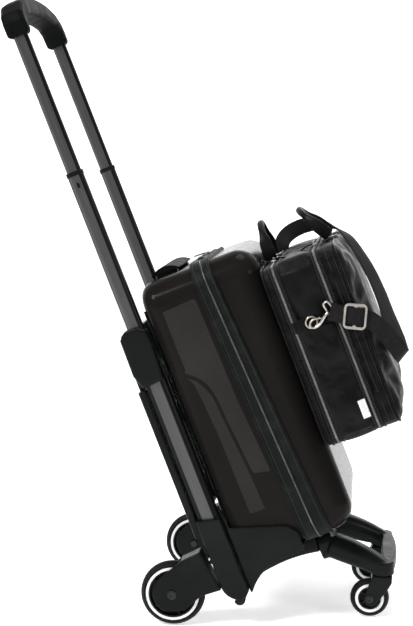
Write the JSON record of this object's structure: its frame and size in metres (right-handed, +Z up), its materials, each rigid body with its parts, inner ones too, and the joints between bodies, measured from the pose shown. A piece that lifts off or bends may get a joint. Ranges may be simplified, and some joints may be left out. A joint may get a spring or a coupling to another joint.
{
  "type": "rolling laptop case",
  "caption": "Leaning four-wheeled trolley with a telescopic handle, a hard clamshell case and a detachable laptop bag with a shoulder strap.",
  "frame": {"origin": "on the ground, in the middle of the footprint's bounding box", "axes": "+X forward, towards the casters, +Y the case's left side, +Z up"},
  "size_m": [0.6527, 0.4111, 1.0167],
  "materials": {
    "tube_silver": "satin anodised",
    "frame_plastic": "satin moulded, fine texture",
    "grip_plastic": "satin moulded grip",
    "button_plastic": "satin",
    "steel": "brushed",
    "shell": "high gloss moulded polycarbonate",
    "band": "rubberised zip band",
    "tyre": "matte",
    "rim": "satin",
    "trim_white": "gloss",
    "foot_rubber": "matte",
    "leather": "smooth grained leather, soft sheen",
    "padded_leather": "smooth grained leather over padding",
    "webbing": "woven strap",
    "nickel": "warm nickel, softly brushed"
  },
  "bodies": {
    "chassis": {"outer_tube_left": "tube_silver", "outer_tube_right": "tube_silver", "upper_bracket_left": "frame_plastic", "upper_bracket_right": "frame_plastic", "lower_bracket_left": "frame_plastic", "lower_bracket_right": "frame_plastic", "parking_feet": "foot_rubber", "back_panel": "frame_plastic", "rear_fork_left": "frame_plastic", "rear_fork_right": "frame_plastic", "rear_axles": "steel", "base_cradle": "frame_plastic", "front_yoke": "frame_plastic", "swivel_bearings": "steel", "case_rear_shell": "shell", "zip_band_rear": "band", "carry_handle_mounts": "frame_plastic"},
    "handle_mid": {"mid_tube_left": "tube_silver", "mid_tube_right": "tube_silver", "mid_tube_bushes": "frame_plastic", "tube_collars": "frame_plastic", "lock_pins": "frame_plastic"},
    "handle_top": {"inner_tube_left": "tube_silver", "inner_tube_right": "tube_silver", "release_rods": "steel", "grip": "grip_plastic", "button_spring": "steel"},
    "grip_button": {"grip_button": "button_plastic"},
    "rear_wheel_left": {"rear_left_tyre": "tyre", "rear_left_rim": "rim", "rear_left_trim_rings": "trim_white", "rear_left_bearings": "steel"},
    "caster_left": {"caster_fork_left": "frame_plastic", "caster_stem_left": "steel", "front_axle_left": "steel"},
    "front_wheel_left": {"front_left_tyre": "tyre", "front_left_rim": "rim", "front_left_trim_rings": "trim_white"},
    "rear_wheel_right": {"rear_right_tyre": "tyre", "rear_right_rim": "rim", "rear_right_trim_rings": "trim_white", "rear_right_bearings": "steel"},
    "caster_right": {"caster_fork_right": "frame_plastic", "caster_stem_right": "steel", "front_axle_right": "steel"},
    "front_wheel_right": {"front_right_tyre": "tyre", "front_right_rim": "rim", "front_right_trim_rings": "trim_white"},
    "case_lid": {"case_front_shell": "shell", "zip_band_front": "band"},
    "carry_handle": {"carry_handle": "grip_plastic"},
    "laptop_bag": {"bag_rear_body": "padded_leather", "bag_main_body": "padded_leather", "bag_front_body": "padded_leather", "strap_rings": "nickel", "snap_hooks": "nickel", "strap_slider": "nickel", "shoulder_strap": "webbing"},
    "bag_handle_rear": {"bag_handle_rear": "leather"},
    "bag_handle_front": {"bag_handle_front": "leather"}
  },
  "joints": [
    {"name": "lower_stage_slide", "type": "slide", "parent": "chassis", "child": "handle_mid", "axis": [0.3584, 0, -0.9336], "range_m": [0, 0.238]},
    {"name": "upper_stage_slide", "type": "slide", "parent": "handle_mid", "child": "handle_top", "axis": [0.3584, 0, -0.9336], "range_m": [0, 0.222]},
    {"name": "grip_button_press", "type": "slide", "parent": "handle_top", "child": "grip_button", "axis": [0.3584, 0, -0.9336], "range_m": [0, 0.003], "stiffness_N_per_m": 600, "springref_m": -0.002, "deforming": ["button_spring"]},
    {"name": "rear_wheel_left_spin", "type": "hinge", "parent": "chassis", "child": "rear_wheel_left", "pos_m": [-0.0488, 0.165, 0.0525], "axis": [0, 1, 0], "continuous": true},
    {"name": "caster_left_swivel", "type": "hinge", "parent": "chassis", "child": "caster_left", "pos_m": [0.2892, 0.097, 0.0705], "axis": [0, 0, 1], "continuous": true},
    {"name": "front_wheel_left_spin", "type": "hinge", "parent": "caster_left", "child": "front_wheel_left", "pos_m": [0.2682, 0.097, 0.0318], "axis": [0, 1, 0], "continuous": true},
    {"name": "rear_wheel_right_spin", "type": "hinge", "parent": "chassis", "child": "rear_wheel_right", "pos_m": [-0.0488, -0.165, 0.0525], "axis": [0, 1, 0], "continuous": true},
    {"name": "caster_right_swivel", "type": "hinge", "parent": "chassis", "child": "caster_right", "pos_m": [0.2892, -0.097, 0.0705], "axis": [0, 0, 1], "continuous": true},
    {"name": "front_wheel_right_spin", "type": "hinge", "parent": "caster_right", "child": "front_wheel_right", "pos_m": [0.2682, -0.097, 0.0318], "axis": [0, 1, 0], "continuous": true},
    {"name": "lid_hinge", "type": "hinge", "parent": "chassis", "child": "case_lid", "pos_m": [0.09161, 0.1685, 0.36453], "axis": [-0.3994, 0, 0.9168], "range_deg": [0, 100]},
    {"name": "carry_handle_lift", "type": "slide", "parent": "chassis", "child": "carry_handle", "axis": [-0.3584, 0, 0.9336], "range_m": [0, 0.016]},
    {"name": "bag_lift_off", "type": "slide", "parent": "case_lid", "child": "laptop_bag", "axis": [-0.3584, 0, 0.9336], "range_m": [0, 0.1]},
    {"name": "bag_handle_rear_fold", "type": "hinge", "parent": "laptop_bag", "child": "bag_handle_rear", "pos_m": [0.10422, 0, 0.5836], "axis": [0, 1, 0], "range_deg": [-12, 9]},
    {"name": "bag_handle_front_fold", "type": "hinge", "parent": "laptop_bag", "child": "bag_handle_front", "pos_m": [0.19988, 0, 0.6246], "axis": [0, 1, 0], "range_deg": [-3, 45]}
  ]
}
